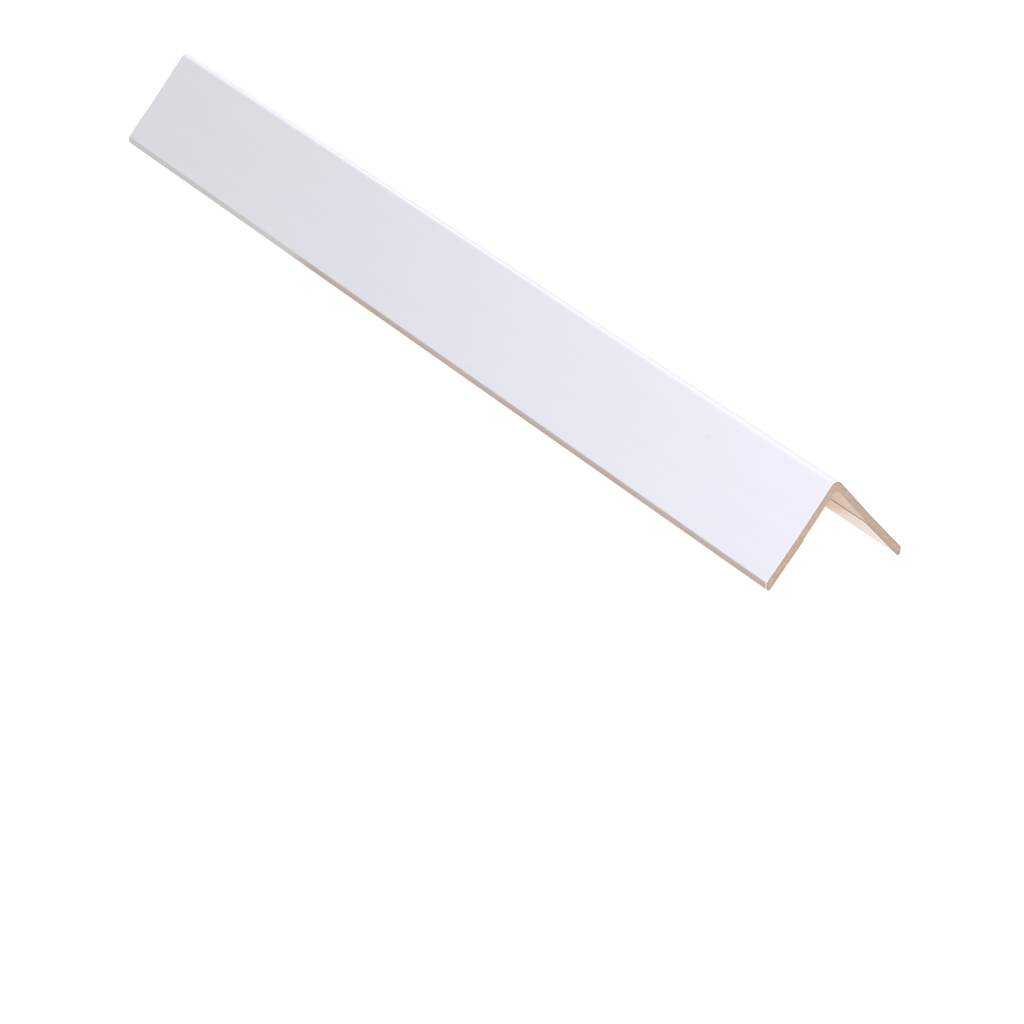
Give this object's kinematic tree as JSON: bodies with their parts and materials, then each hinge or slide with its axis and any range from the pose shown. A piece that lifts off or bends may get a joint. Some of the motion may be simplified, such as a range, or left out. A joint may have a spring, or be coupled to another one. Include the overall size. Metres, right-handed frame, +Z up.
{
  "type": "pallet edge protector",
  "caption": "Laminated paperboard angle with a rounded bend, a smooth white cover turned in round its free edges and sawn kraft ends; it caps the edge of a load and spreads strap pressure.",
  "frame": {"origin": "on the surface that the free edges stand on, midway between the ends and midway between the legs", "axes": "+X along the length, +Z up through the bend, the legs lean out towards +Y and -Y"},
  "size_m": [0.56, 0.0644, 0.04],
  "materials": {
    "laminated_board": "smooth white cover paper outside and on the turned-in margins, bare brown kraft inside above them and on the sawn ends"
  },
  "bodies": {
    "root": {"edge_protector": "laminated_board"}
  },
  "joints": []
}
